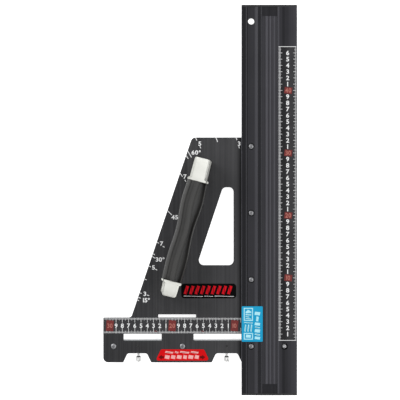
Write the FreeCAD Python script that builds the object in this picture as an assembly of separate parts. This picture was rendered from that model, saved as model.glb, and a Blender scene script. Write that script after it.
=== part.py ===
"""Circular-saw guide square.

A hollow aluminium rail carries a saw along its straight cutting edge.  A protractor plate is screwed
under the rail's outer flange, a carrying handle stands on the plate, and a fence under the plate is
laid against the edge of the board.  Two adjusting screws swing the fence about its pivot screw, to
set it square to the rail, and three clamp screws then hold it.

Frame, in millimetres: the origin is the protractor's centre, where the cutting edge crosses the line
of the fence's face.  +Y runs along the rail, away from the fence.  +Z is up.  The rail and the plate
lie at negative X, and their undersides, which rest on the board, are at Z = 0.
"""
import FreeCAD, Part
import math
import os

# ---------------------------------------------------------------- rail, seen in cross-section
rail_above_fence = 537.0      # far end of the rail, from the fence line
rail_below_fence = 88.0       # near end of the rail, from the fence line
rail_width = 89.0
ridge_height = 9.0            # top of the guide ridges, from the board
land_height = 8.6             # ruler band and outer land
floor_height = 7.7            # screw channel and glide strip groove
ruler_width = 29.6            # band along the cutting edge
ridge_width = 2.0             # ridge beside the ruler
guide_edge_width = 1.6        # ridge between the glide strip and the dust groove
dust_groove_width = 4.6
slope_width = 4.2             # from the dust groove's edge down to the screw channel
channel_width = 13.2
bead_width = 1.7
land_width = 7.3
flange_width = 28.0           # the part of the rail that lies over the plate
edge_chamfer = 0.6
ridge_run = 0.4               # width of the ridges' sloping sides
slope_drop = 0.3              # the slope starts this far below the ridges
floor_wall = 2.2              # wall resting on the board
flange_wall = 1.4             # wall resting on the plate
top_wall = 1.5
web_wall = 2.0

# ---------------------------------------------------------------- rail fittings
cap_thickness = 3.0
cap_plug_length = 8.0
plug_clearance = 0.1
strip_end_gap = 18.0          # the glide strip stops this far from each end
strip_base = 0.7              # glide strip thickness between its ribs
rib_height = 0.6
rib_width = 2.0
rib_count = 4
rib_pitch = 4.2
grip_strip_width = 6.0        # non-slip strips let into the underside
grip_strip_depth = 1.0
grip_strip_inset = 8.0        # from the cutting edge, and from the step of the flange
grip_strip_start = 12.0       # clear of the fence
hang_hole_from_end = 26.4
hang_hole_radius = 5.0
bush_wall = 0.65
bush_clearance = 0.05
bush_lip = 0.6
bush_lip_height = 0.5

# ---------------------------------------------------------------- protractor plate
plate_thickness = 3.0
plate_edge_gap = 1.0          # from the plate's hidden edge to the rail's step
arm_reach = 310.6             # end of the arm, from the cutting edge
arm_half_width = 36.0
plate_top = 325.0
slant_foot = 265.9            # slanted edge at the arm, from the cutting edge
slant_head = 168.1            # slanted edge at the plate's top, from the cutting edge
plate_corner = 8.0
small_corner = 1.5
notch_mouth_corner = 2.0
inner_corner = 6.0
notch_setback = 1.4           # from the fence's back to the head of the notches
notch_top_half = 17.2
notch_mouth_half = 24.0
notch_corner = 4.5
left_notch_trim = 3.2         # the left notch is this much narrower, on its inner side
window_gap = 12.5             # from the rail to the window's straight side
window_bottom = 120.0
window_top = 245.0
window_foot_width = 58.8      # along the window's bottom, to the slanted side
window_head_width = 17.2      # along the window's top, to the slanted side
window_corner = 8.0
window_top_corner = 7.4
sight_slot_low = -1.3
sight_slot_high = 10.0
sight_slot_far = 278.0        # left slot's far end
sight_slot_bar = 17.8         # from the pivot to the right slot
sight_slot_bar_left = 33.5    # from the pivot to the left slot
sight_slot_hidden = 3.0       # length of the right slot under the rail
marking_slot_near = 161.8
marking_slot_far = 222.5
marking_slot_width = 5.0
slot_corner = 0.8

# ---------------------------------------------------------------- fence and its screws
fence_depth = 17.0
fence_thickness = 20.0
fence_front_wall = 2.5
fence_back_wall = 3.0
fence_top_wall = 2.5
fence_left = 305.0
fence_right = 1.0
fence_cap_thickness = 1.5
fence_cap_plug = 5.0
slide_gap = 0.05              # between the fence and what it slides on
screw_line = -10.0            # the row of screws along the fence
pivot_x = -183.5
clamp_reach = 110.5           # outer clamp screw, from the pivot
edge_clamp_x = -20.0
pivot_radius = 3.0
pivot_clearance = 0.05
swing_degrees = 0.7           # each way
swing_clearance = 0.4
screw_radius = 2.5
screw_clearance = 0.15
head_radius = 4.5
head_height = 2.6
socket_radius = 1.7
socket_depth = 1.4
access_radius = 5.3
washer_radius = 4.6
washer_thickness = 1.0
nut_across_flats = 8.0
nut_height = 4.0
screw_end_length = 0.8        # screw standing out below its nut
head_rounding = 0.6           # share of a head's height that is rounded

# ---------------------------------------------------------------- fence adjusters
adjuster_reach = 71.0         # each side of the pivot
adjuster_depth = 8.0          # axis below the plate
stud_radius = 3.0
stud_spigot_radius = 2.0
stud_length = 13.0
pad_gap = 0.3                 # between the thrust pad and its stud
pad_radius = 2.8
pad_thickness = 1.6
stem_radius = 1.2
stem_length = 2.5
running_clearance = 0.05
stem_end_gap = 0.3
adjuster_radius = 2.5
neck_length = 5.5             # bare screw between the fence and the head
adjuster_head_radius = 4.25
adjuster_head_length = 10.5
adjuster_head_chamfer = 0.5
adjuster_groove = 0.9         # dark ring turned into the head near its front
adjuster_groove_place = 1.2
driver_slot_width = 1.0
driver_slot_depth = 1.2
spigot_recess = 0.4           # a stud's riveted end stays below the plate's top
fence_cap_plug_depth = 2.5

# ---------------------------------------------------------------- rail-to-plate screws
rail_screw_first = 96.8
rail_screw_pitch = 106.8
rail_screw_count = 3
rail_screw_end = 0.4          # the screws stop short of the underside by this much

# ---------------------------------------------------------------- handle
handle_foot_x = -206.6        # outer end of the lower post
handle_foot_y = 72.5
handle_tilt = 14.7            # degrees from the rail's direction
handle_top = 50.0             # above the plate
grip_length = 161.9
grip_height = 22.0
grip_end_width = 33.3
grip_waist_width = 29.9
grip_shoulder_drop = 7.0      # slope beside the flat top of the grip
grip_shoulder_run = 8.5
grip_shoulder_corner = 6.0
grip_under_corner = 7.0
lower_post_length = 25.6
upper_post_length = 37.7
lower_post_widths = (25.5, 27.4, 32.8)    # outer end, beside the collar, collar
upper_post_widths = (27.0, 28.4, 34.3)
collar_length = 4.8
lower_post_corner = 5.0
upper_post_corner = 2.5
post_shoulder = 12.0          # rounding between a post's end and its top
collar_flare = 0.6            # length of the collar's slope for each unit that it widens
collar_corner = 0.8
collar_drop = 0.5             # the collar reaches this far below the grip
core_width = 16.0
core_height = 10.0
core_depth = 12.0             # how far the core enters each post
post_screw_spread = 7.0
post_screw_grip = 14.0        # depth of the screw holes in the posts
post_screw_gap = 0.5          # from a screw's end to the end of its hole
countersink_radius = 4.7

# ---------------------------------------------------------------- labels
label_thickness = 0.4
badge_gap = 8.4               # from the rail
badge_post_gap = 21.3         # from the outer end of the handle's lower post
badge_low = 67.0
badge_height = 23.4
badge_corner = 5.0
depth_label_width = 33.7
depth_label_low = -2.2
depth_label_height = 56.7
adjuster_label_low = -33.0
adjuster_label_high = -15.0
adjuster_label_foot = 43.1    # half-lengths about the pivot
adjuster_label_head = 34.6
label_corner = 1.5
adjuster_label_corner = 3.0
depth_label_inset = 0.3       # from the rail's outer side

# ---------------------------------------------------------------- worked out from the sizes above
channel_outer = rail_width - land_width - bead_width
channel_inner = channel_outer - channel_width
groove_outer = channel_inner - slope_width
groove_inner = groove_outer - dust_groove_width
strip_outer = groove_inner - guide_edge_width
strip_inner = ruler_width + ridge_width
step = rail_width - flange_width
channel_x = -(channel_outer + channel_inner) / 2
rail_screw_ys = [rail_screw_first + rail_screw_pitch * i for i in range(rail_screw_count)]
flange_floor = plate_thickness + flange_wall
body_roof = floor_height - top_wall
hang_hole_y = rail_above_fence - hang_hole_from_end
far_clamp_x = pivot_x - clamp_reach
window_right = rail_width + window_gap
notch_line = -fence_thickness - notch_setback
badge_near = rail_width + badge_gap
adjuster_xs = {"left": pivot_x - adjuster_reach, "right": pivot_x + adjuster_reach}
swing = math.sin(math.radians(swing_degrees))
fence_roof = -slide_gap - fence_top_wall


def vec(x, y, z=0.0):
    return FreeCAD.Vector(x, y, z)


def box(x0, x1, y0, y1, z0, z1):
    return Part.makeBox(x1 - x0, y1 - y0, z1 - z0, vec(x0, y0, z0))


def rod(x, y, z0, z1, radius):
    """An upright cylinder."""
    return Part.makeCylinder(radius, z1 - z0, vec(x, y, z0))


def rod_y(x, z, y0, y1, radius):
    """A cylinder along Y."""
    return Part.makeCylinder(radius, y1 - y0, vec(x, y0, z), vec(0, 1, 0))


def rounded_face(corners):
    """A flat face from (x, y, radius) corners, each rounded by its own radius."""
    count = len(corners)
    starts, mids, ends = [], [], []
    for i in range(count):
        corner = vec(corners[i][0], corners[i][1])
        back = vec(corners[i - 1][0], corners[i - 1][1]) - corner
        ahead = vec(corners[(i + 1) % count][0], corners[(i + 1) % count][1]) - corner
        back.normalize()
        ahead.normalize()
        half = back.getAngle(ahead) / 2
        radius = corners[i][2]
        run = radius / math.tan(half)
        bisector = back + ahead
        bisector.normalize()
        starts.append(corner + back * run)
        ends.append(corner + ahead * run)
        mids.append(corner + bisector * (radius / math.sin(half) - radius))
    edges = []
    for i in range(count):
        if corners[i][2] > 0:
            edges.append(Part.Arc(starts[i], mids[i], ends[i]).toShape())
        following = starts[(i + 1) % count]
        if (following - ends[i]).Length > 1e-6:
            edges.append(Part.makeLine(ends[i], following))
    return Part.Face(Part.Wire(edges))


def slab(corners, z0, z1):
    """A rounded outline given in X and Y, extruded upwards."""
    face = rounded_face(corners)
    face.translate(vec(0, 0, z0))
    return face.extrude(vec(0, 0, z1 - z0))


def profile_along_y(corners, y0, y1):
    """A rounded outline given in X and Z, extruded along Y."""
    face = rounded_face(corners)
    face.rotate(vec(0, 0, 0), vec(1, 0, 0), 90)
    face.translate(vec(0, y0, 0))
    return face.extrude(vec(0, y1 - y0, 0))


def rectangle(x0, x1, y0, y1, radius):
    return [(x0, y0, radius), (x1, y0, radius), (x1, y1, radius), (x0, y1, radius)]


def travel_slot(x, half_travel, radius, z0, z1):
    """A slot along Y that a fixed screw moves in when the fence swings."""
    return slab(rectangle(x - radius, x + radius, screw_line - half_travel - radius,
                          screw_line + half_travel + radius, radius * 0.98), z0, z1)


def button_screw(x, y, seat, end, shank_radius):
    """A button-head socket screw whose head sits on the plane z = seat."""
    head = rod(x, y, seat, seat + head_height, head_radius)
    head = head.makeFillet(head_height * head_rounding, [head.Edges[0]])
    socket = rod(x, y, seat + head_height - socket_depth, seat + head_height + 1, socket_radius)
    return head.fuse(rod(x, y, end, seat, shank_radius)).cut(socket)


def hexagon(x, y, z0, z1, across_flats):
    radius = across_flats / math.sqrt(3)
    points = []
    for i in range(6):
        angle = math.radians(60 * i + 30)
        points.append((x + radius * math.cos(angle), y + radius * math.sin(angle), 0.0))
    return slab(points, z0, z1)


# ---------------------------------------------------------------- rail
def rail_outline():
    """Cross-section of the extrusion as (x, z, radius), going round from the cutting edge's foot."""
    slope_top = ridge_height - slope_drop
    return [
        (0, 0, 0), (0, land_height - edge_chamfer, 0), (-edge_chamfer, land_height, 0),
        (-ruler_width, land_height, 0), (-ruler_width - ridge_run, ridge_height, 0),
        (-strip_inner, ridge_height, 0), (-strip_inner, floor_height, 0),
        (-strip_outer, floor_height, 0), (-strip_outer, ridge_height, 0),
        (-groove_inner, ridge_height, 0), (-groove_inner, floor_height, 0),
        (-groove_outer, floor_height, 0), (-groove_outer, slope_top, 0),
        (-channel_inner, floor_height, 0), (-channel_outer, floor_height, 0),
        (-channel_outer - ridge_run, ridge_height, 0), (-channel_outer - bead_width, ridge_height, 0),
        (-channel_outer - bead_width - ridge_run, land_height, 0),
        (-rail_width + edge_chamfer, land_height, 0), (-rail_width, land_height - edge_chamfer, 0),
        (-rail_width, plate_thickness, 0), (-step, plate_thickness, 0), (-step, 0, 0)]


def rail_chambers(margin):
    """The three hollow chambers as (x0, x1, z0, z1), each shrunk by a margin."""
    chambers = [
        (-ruler_width + web_wall / 2, -web_wall, floor_wall, land_height - top_wall),
        (-step + web_wall, -ruler_width - web_wall / 2, floor_wall, body_roof),
        (-rail_width + web_wall, -step - web_wall / 2, flange_floor, body_roof)]
    return [(x0 + margin, x1 - margin, z0 + margin, z1 - margin) for x0, x1, z0, z1 in chambers]


def grip_strip_places():
    """Left and right X limits of the two non-slip strips."""
    right = -grip_strip_inset
    left = -step + grip_strip_inset
    return {"right": (right - grip_strip_width, right), "left": (left, left + grip_strip_width)}


def rail_extrusion():
    low = -rail_below_fence + cap_thickness
    high = rail_above_fence - cap_thickness
    rail = profile_along_y(rail_outline(), low, high)
    for x0, x1, z0, z1 in rail_chambers(0):
        rail = rail.cut(box(x0, x1, low - 1, high + 1, z0, z1))
    for x0, x1 in grip_strip_places().values():
        rail = rail.cut(box(x0, x1, grip_strip_start, high - strip_end_gap, -1, grip_strip_depth))
    for y in rail_screw_ys + [screw_line]:
        rail = rail.cut(rod(channel_x, y, 0, flange_floor + 0.1, screw_radius + screw_clearance))
        rail = rail.cut(rod(channel_x, y, flange_floor, ridge_height + 1, access_radius))
    rail = rail.cut(rod(edge_clamp_x, screw_line, -1, floor_wall + 0.1, screw_radius + screw_clearance))
    rail = rail.cut(rod(edge_clamp_x, screw_line, floor_wall, ridge_height + 1, access_radius))
    bush_hole = hang_hole_radius + bush_wall + bush_clearance
    rail = rail.cut(rod(channel_x, hang_hole_y, -1, ridge_height + 1, bush_hole))
    lip_seat = hang_hole_radius + bush_wall + bush_lip + bush_clearance
    return rail.cut(rod(channel_x, hang_hole_y, floor_height, ridge_height + 1, lip_seat))


def rail_cap(inner_y, outer_y):
    """A moulded end cap whose plugs enter the rail's chambers."""
    skin = [(0, 0, edge_chamfer), (0, land_height, edge_chamfer),
            (-rail_width, land_height, edge_chamfer), (-rail_width, plate_thickness, edge_chamfer),
            (-step, plate_thickness, 0), (-step, 0, 0)]
    cap = profile_along_y(skin, min(inner_y, outer_y), max(inner_y, outer_y))
    tip_y = inner_y + math.copysign(cap_plug_length, inner_y - outer_y)
    for x0, x1, z0, z1 in rail_chambers(plug_clearance):
        cap = cap.fuse(box(x0, x1, min(inner_y, tip_y), max(inner_y, tip_y), z0, z1))
    return cap.removeSplitter()


def glide_strip():
    """Low-friction inlay that the saw's base slides on, with ribs along it."""
    low = -rail_below_fence + strip_end_gap
    high = rail_above_fence - strip_end_gap
    top = floor_height + strip_base
    strip = box(-strip_outer, -strip_inner, low, high, floor_height, top)
    middle = -(strip_outer + strip_inner) / 2
    for i in range(rib_count):
        x = middle + (i - (rib_count - 1) / 2) * rib_pitch
        rib = [(x - rib_width / 2, top - 0.1, 0), (x + rib_width / 2, top - 0.1, 0),
               (x + rib_width / 4, top + rib_height, 0), (x - rib_width / 4, top + rib_height, 0)]
        strip = strip.fuse(profile_along_y(rib, low, high))
    return strip.removeSplitter()


def grip_strip(side):
    x0, x1 = grip_strip_places()[side]
    high = rail_above_fence - cap_thickness - strip_end_gap
    return box(x0, x1, grip_strip_start, high, 0, grip_strip_depth)


def hanging_bush():
    """Plastic lining of the hole that the tool hangs from."""
    outer = rod(channel_x, hang_hole_y, plate_thickness, floor_height, hang_hole_radius + bush_wall)
    lip = rod(channel_x, hang_hole_y, floor_height, floor_height + bush_lip_height,
              hang_hole_radius + bush_wall + bush_lip)
    bore = rod(channel_x, hang_hole_y, plate_thickness - 1, floor_height + 1, hang_hole_radius)
    return outer.fuse(lip).cut(bore).removeSplitter()


# ---------------------------------------------------------------- protractor plate
def plate_outline():
    hidden = -step - plate_edge_gap
    outline = [(-arm_reach, -arm_half_width, plate_corner)]
    for side, trim in (("left", left_notch_trim), ("right", 0.0)):
        x = adjuster_xs[side]
        outline += [(x - notch_mouth_half, -arm_half_width, notch_mouth_corner),
                    (x - notch_top_half, notch_line, notch_corner),
                    (x + notch_top_half - trim, notch_line, notch_corner),
                    (x + notch_mouth_half - trim, -arm_half_width, notch_mouth_corner)]
    outline += [(hidden, -arm_half_width, small_corner), (hidden, plate_top, small_corner),
                (-slant_head, plate_top, plate_corner), (-slant_foot, arm_half_width, inner_corner),
                (-arm_reach, arm_half_width, small_corner)]
    return outline


def window_outline():
    foot = window_right + window_foot_width
    head = window_right + window_head_width
    return [(-window_right, window_bottom, window_corner), (-window_right, window_top, window_top_corner),
            (-head, window_top, window_top_corner), (-foot, window_bottom, window_corner)]


def angle_plate():
    plate = slab(plate_outline(), 0, plate_thickness)
    holes = [slab(window_outline(), -1, plate_thickness + 1)]
    slots = [(-sight_slot_far, pivot_x - sight_slot_bar_left, sight_slot_low, sight_slot_high),
             (pivot_x + sight_slot_bar, -rail_width + sight_slot_hidden, sight_slot_low, sight_slot_high),
             (-marking_slot_far, -marking_slot_near, arm_half_width, arm_half_width + marking_slot_width)]
    for x0, x1, y0, y1 in slots:
        holes.append(slab(rectangle(x0, x1, y0, y1, slot_corner), -1, plate_thickness + 1))
    for y in rail_screw_ys:
        holes.append(rod(channel_x, y, -1, plate_thickness + 1, screw_radius))
    for x in (far_clamp_x, channel_x):
        holes.append(rod(x, screw_line, -1, plate_thickness + 1, screw_radius + screw_clearance))
    holes.append(rod(pivot_x, screw_line, -1, plate_thickness + 1, pivot_radius))
    for x in adjuster_xs.values():
        holes.append(rod(x, screw_line, -1, plate_thickness + 1, stud_spigot_radius))
    for x, y in handle_screw_places():
        holes.append(countersunk_hole(x, y))
    for hole in holes:
        plate = plate.cut(hole)
    return plate


# ---------------------------------------------------------------- fence, clamp screws and pivot
def fence_bar():
    """Aluminium channel, open below, that swings about the pivot screw."""
    bar = box(-fence_left, -fence_right, -fence_thickness, 0, -fence_depth, -slide_gap)
    inside = box(-fence_left - 1, -fence_right + 1, -fence_thickness + fence_back_wall, -fence_front_wall,
                 -fence_depth - 1, fence_roof)
    bar = bar.cut(inside)
    bar = bar.cut(rod(pivot_x, screw_line, fence_roof - 1, 1, pivot_radius + pivot_clearance))
    for x in (far_clamp_x, channel_x, edge_clamp_x):
        travel = abs(x - pivot_x) * swing
        bar = bar.cut(travel_slot(x, travel, screw_radius + swing_clearance, fence_roof - 1, 1))
    for x in adjuster_xs.values():
        travel = adjuster_reach * swing
        bar = bar.cut(travel_slot(x, travel, stud_radius + swing_clearance, fence_roof - 1, 1))
        wall_inside = -fence_thickness + fence_back_wall
        bar = bar.cut(rod_y(x, -adjuster_depth, -fence_thickness - 1, wall_inside + 1,
                            adjuster_radius + running_clearance))
    return bar


def fence_cap(end_x, inward):
    """Plastic plug in one end of the fence; inward is +1 or -1 along X."""
    y0 = -fence_thickness + fence_back_wall
    y1 = -fence_front_wall
    face = sorted((end_x, end_x + inward * fence_cap_thickness))
    plug = sorted((end_x, end_x + inward * fence_cap_plug))
    cap = box(face[0], face[1], y0, y1, -fence_depth, fence_roof)
    core = box(plug[0], plug[1], y0, y1, fence_roof - fence_cap_plug_depth, fence_roof)
    return cap.fuse(core).removeSplitter()


def clamp_seats():
    """(x, height of the head's seat) of the three clamp screws."""
    return [(far_clamp_x, plate_thickness), (channel_x, flange_floor), (edge_clamp_x, floor_wall)]


def nut_top():
    return fence_roof - slide_gap - washer_thickness


def fence_clamp_screws():
    end = nut_top() - nut_height - screw_end_length
    return Part.makeCompound([button_screw(x, screw_line, seat, end, screw_radius)
                              for x, seat in clamp_seats()])


def fence_pivot_screw():
    """Shoulder screw: the shoulder is the pivot, and its thread below carries the nut."""
    shoulder_end = fence_roof - slide_gap
    screw = button_screw(pivot_x, screw_line, plate_thickness, shoulder_end, pivot_radius)
    end = nut_top() - nut_height - screw_end_length
    return screw.fuse(rod(pivot_x, screw_line, end, shoulder_end, screw_radius)).removeSplitter()


def fence_washers():
    top = fence_roof - slide_gap
    rings = []
    for x in [pivot_x] + [x for x, seat in clamp_seats()]:
        ring = rod(x, screw_line, top - washer_thickness, top, washer_radius)
        rings.append(ring.cut(rod(x, screw_line, top - 3, top + 1, screw_radius)))
    return Part.makeCompound(rings)


def fence_nuts():
    nuts = []
    for x in [pivot_x] + [x for x, seat in clamp_seats()]:
        nut = hexagon(x, screw_line, nut_top() - nut_height, nut_top(), nut_across_flats)
        nuts.append(nut.cut(rod(x, screw_line, nut_top() - nut_height - 1, nut_top() + 1, screw_radius)))
    return Part.makeCompound(nuts)


def plate_rail_screws():
    return Part.makeCompound([button_screw(channel_x, y, flange_floor, rail_screw_end, screw_radius)
                              for y in rail_screw_ys])


# ---------------------------------------------------------------- fence adjusters
def adjuster_studs():
    """Studs riveted into the plate; each adjuster pushes against one."""
    studs = []
    for x in adjuster_xs.values():
        stud = rod(x, screw_line, -stud_length, 0, stud_radius)
        studs.append(stud.fuse(rod(x, screw_line, 0, plate_thickness - spigot_recess, stud_spigot_radius)))
    return Part.makeCompound(studs)


def pad_front():
    return screw_line - stud_radius - pad_gap


def thrust_pad(x):
    front = pad_front()
    back = front - pad_thickness
    pad = rod_y(x, -adjuster_depth, back, front, pad_radius)
    stem = rod_y(x, -adjuster_depth, back - stem_length, back, stem_radius)
    return pad.fuse(stem).removeSplitter()


def adjusting_screw(x):
    """Thumb screw threaded through the fence's back wall, with the pad's stem in its tip."""
    tip = pad_front() - pad_thickness
    head_front = -fence_thickness - neck_length
    screw = rod_y(x, -adjuster_depth, head_front - 1, tip, adjuster_radius)
    head = rod_y(x, -adjuster_depth, head_front - adjuster_head_length, head_front, adjuster_head_radius)
    head = head.makeChamfer(adjuster_head_chamfer, [edge for edge in head.Edges if edge.Closed])
    groove_y = head_front - adjuster_groove_place
    ring = rod_y(x, -adjuster_depth, groove_y - adjuster_groove, groove_y, adjuster_head_radius + 1)
    groove_floor = adjuster_head_radius - adjuster_groove
    ring = ring.cut(rod_y(x, -adjuster_depth, groove_y - adjuster_groove - 1, groove_y + 1, groove_floor))
    bore_end = tip - stem_length - stem_end_gap
    bore = rod_y(x, -adjuster_depth, bore_end, tip + 1, stem_radius + running_clearance)
    slot_y = head_front - adjuster_head_length
    half = driver_slot_width / 2
    driver = box(x - adjuster_head_radius, x + adjuster_head_radius, slot_y - 1, slot_y + driver_slot_depth,
                 -adjuster_depth - half, -adjuster_depth + half)
    return screw.fuse(head).cut(ring).cut(bore).cut(driver).removeSplitter()


# ---------------------------------------------------------------- handle, built along +Y from its foot
def place_handle(shape):
    placed = shape.copy()
    placed.rotate(vec(0, 0, 0), vec(0, 0, 1), -handle_tilt)
    placed.translate(vec(handle_foot_x, handle_foot_y, plate_thickness))
    return placed


def post_plan(length, widths, corner):
    """Plan of a post from its outer end at y = 0 to the grip, flared into a collar."""
    end, neck, collar = (width / 2 for width in widths)
    neck_y = length - collar_length
    flare_y = neck_y + (collar - neck) * collar_flare
    return [(-end, 0, corner), (end, 0, corner), (neck, neck_y, 0), (collar, flare_y, collar_corner),
            (collar, length, 0), (-collar, length, 0), (-collar, flare_y, collar_corner),
            (-neck, neck_y, 0)]


def post_side(length):
    """Side of a post as (y, z): a leg, a rounded shoulder and the collar over the finger gap."""
    under = handle_top - grip_height - collar_drop
    inner = length - collar_length
    return [(0, 0, 0), (inner, 0, 0), (inner, under, collar_length * 0.6), (length, under, 0),
            (length, handle_top, 0), (0, handle_top, post_shoulder)]


def handle_post(length, widths, corner):
    """A moulded post with its outer end at y = 0 and its collar towards +Y."""
    plan = slab(post_plan(length, widths, corner), 0, handle_top)
    side = rounded_face(post_side(length))
    side.rotate(vec(0, 0, 0), vec(1, 0, 0), 90)
    side.rotate(vec(0, 0, 0), vec(0, 0, 1), 90)
    side.translate(vec(-max(widths), 0, 0))
    post = plan.common(side.extrude(vec(2 * max(widths), 0, 0)))
    socket_z = core_bottom()
    socket = box(-core_width / 2, core_width / 2, length - core_depth, length + 1,
                 socket_z, socket_z + core_height)
    post = post.cut(socket)
    for x in (-post_screw_spread, post_screw_spread):
        post = post.cut(rod(x, post_screw_y(length), -1, post_screw_grip, screw_radius))
    return post


def core_bottom():
    return handle_top - grip_height / 2 - core_height / 2


def post_screw_y(length):
    """Distance of a post's screws from its outer end."""
    return (length - collar_length) / 2


def handle_length():
    return lower_post_length + grip_length + upper_post_length


def handle_post_lower():
    return place_handle(handle_post(lower_post_length, lower_post_widths, lower_post_corner))


def handle_post_upper():
    post = handle_post(upper_post_length, upper_post_widths, upper_post_corner)
    post.rotate(vec(0, 0, 0), vec(0, 0, 1), 180)
    post.translate(vec(0, handle_length(), 0))
    return place_handle(post)


def handle_core():
    y0 = lower_post_length - core_depth
    y1 = lower_post_length + grip_length + core_depth
    z0 = core_bottom()
    return place_handle(box(-core_width / 2, core_width / 2, y0, y1, z0, z0 + core_height))


def grip_section(y, width):
    """Flat-topped section of the grip in X and Z, at one place along the handle."""
    half = width / 2
    under = handle_top - grip_height
    shoulder = handle_top - grip_shoulder_drop
    flat = half - grip_shoulder_run
    corners = [(-half, under, grip_under_corner), (half, under, grip_under_corner),
               (half, shoulder, grip_shoulder_corner), (flat, handle_top, grip_shoulder_corner),
               (-flat, handle_top, grip_shoulder_corner), (-half, shoulder, grip_shoulder_corner)]
    wire = rounded_face(corners).OuterWire
    wire.rotate(vec(0, 0, 0), vec(1, 0, 0), 90)
    wire.translate(vec(0, y, 0))
    return wire


def handle_grip():
    """Rubber sleeve on the core, waisted in the middle."""
    low = lower_post_length
    stations = [(0.0, 1.0), (0.25, 0.3), (0.5, 0.0), (0.75, 0.3), (1.0, 1.0)]
    sections = []
    for place, swell in stations:
        width = grip_waist_width + (grip_end_width - grip_waist_width) * swell
        sections.append(grip_section(low + grip_length * place, width))
    grip = Part.makeLoft(sections, True, False)
    core = box(-core_width / 2, core_width / 2, low - 1, low + grip_length + 1,
               core_bottom(), core_bottom() + core_height)
    return place_handle(grip.cut(core))


def handle_screw_places():
    """Plan positions of the four screws that hold the posts, in the plate's frame."""
    tilt = math.radians(handle_tilt)
    along = [post_screw_y(lower_post_length), handle_length() - post_screw_y(upper_post_length)]
    places = []
    for s in along:
        for t in (-post_screw_spread, post_screw_spread):
            x = handle_foot_x + t * math.cos(tilt) + s * math.sin(tilt)
            y = handle_foot_y - t * math.sin(tilt) + s * math.cos(tilt)
            places.append((x, y))
    return places


def countersunk_hole(x, y):
    depth = countersink_radius - screw_radius
    cone = Part.makeCone(countersink_radius, screw_radius, depth, vec(x, y, 0))
    return cone.fuse(rod(x, y, depth, plate_thickness + 1, screw_radius + screw_clearance))


def handle_screws():
    depth = countersink_radius - screw_radius
    screws = []
    for x, y in handle_screw_places():
        head = Part.makeCone(countersink_radius, screw_radius, depth, vec(x, y, 0))
        shank = rod(x, y, depth, plate_thickness + post_screw_grip - post_screw_gap, screw_radius)
        socket = rod(x, y, -1, socket_depth, socket_radius)
        screws.append(head.fuse(shank).cut(socket).removeSplitter())
    return Part.makeCompound(screws)


# ---------------------------------------------------------------- labels
def badge():
    outline = rectangle(handle_foot_x + badge_post_gap, -badge_near, badge_low,
                        badge_low + badge_height, badge_corner)
    return slab(outline, plate_thickness, plate_thickness + label_thickness)


def depth_label():
    """Sheet stuck across the lands of the rail, bridging the screw channel."""
    left = -rail_width + depth_label_inset
    outline = rectangle(left, left + depth_label_width, depth_label_low,
                        depth_label_low + depth_label_height, label_corner)
    return slab(outline, ridge_height, ridge_height + label_thickness)


def adjuster_label():
    outline = [(pivot_x - adjuster_label_foot, adjuster_label_low, adjuster_label_corner),
               (pivot_x + adjuster_label_foot, adjuster_label_low, adjuster_label_corner),
               (pivot_x + adjuster_label_head, adjuster_label_high, adjuster_label_corner),
               (pivot_x - adjuster_label_head, adjuster_label_high, adjuster_label_corner)]
    return slab(outline, plate_thickness, plate_thickness + label_thickness)


def all_nodes():
    nodes = {
        "rail_extrusion": rail_extrusion(),
        "rail_cap_top": rail_cap(rail_above_fence - cap_thickness, rail_above_fence),
        "rail_cap_bottom": rail_cap(-rail_below_fence + cap_thickness, -rail_below_fence),
        "glide_strip": glide_strip(),
        "hanging_bush": hanging_bush(),
        "angle_plate": angle_plate(),
        "plate_rail_screws": plate_rail_screws(),
        "fence_pivot_screw": fence_pivot_screw(),
        "fence_clamp_screws": fence_clamp_screws(),
        "fence_washers": fence_washers(),
        "fence_nuts": fence_nuts(),
        "adjuster_studs": adjuster_studs(),
        "handle_post_lower": handle_post_lower(),
        "handle_post_upper": handle_post_upper(),
        "handle_core": handle_core(),
        "handle_grip": handle_grip(),
        "handle_screws": handle_screws(),
        "badge": badge(),
        "depth_label": depth_label(),
        "adjuster_label": adjuster_label(),
        "fence_bar": fence_bar(),
        "fence_cap_left": fence_cap(-fence_left, 1),
        "fence_cap_right": fence_cap(-fence_right, -1)}
    for side in grip_strip_places():
        nodes["grip_strip_" + side] = grip_strip(side)
    for side, x in adjuster_xs.items():
        nodes[side + "_thrust_pad"] = thrust_pad(x)
        nodes[side + "_adjusting_screw"] = adjusting_screw(x)
    return nodes


os.makedirs("parts", exist_ok=True)
for name, shape in all_nodes().items():
    if not shape.isValid():
        raise ValueError(name + " is not a valid solid")
    shape.exportStep("parts/" + name + ".step")
    print(name, len(shape.Solids), round(shape.Volume / 1000, 2), "cm3")
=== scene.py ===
# %% [markdown]
# # A panel saw guide with a protractor plate
#
# A circular saw runs along a long dark rail. A dark plate beside it carries angle marks and a handle, and a
# metal fence under the plate is held against a board's edge. The CAD model gives every place and size.
# Blender adds roundings, screws with real recesses, knurled thumb screws, printed scales, and finishes that
# look like metal, rubber and moulded plastic.

# %% Load the frame
import math

import bmesh
import bpy
from mathutils import Matrix, Vector


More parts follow.
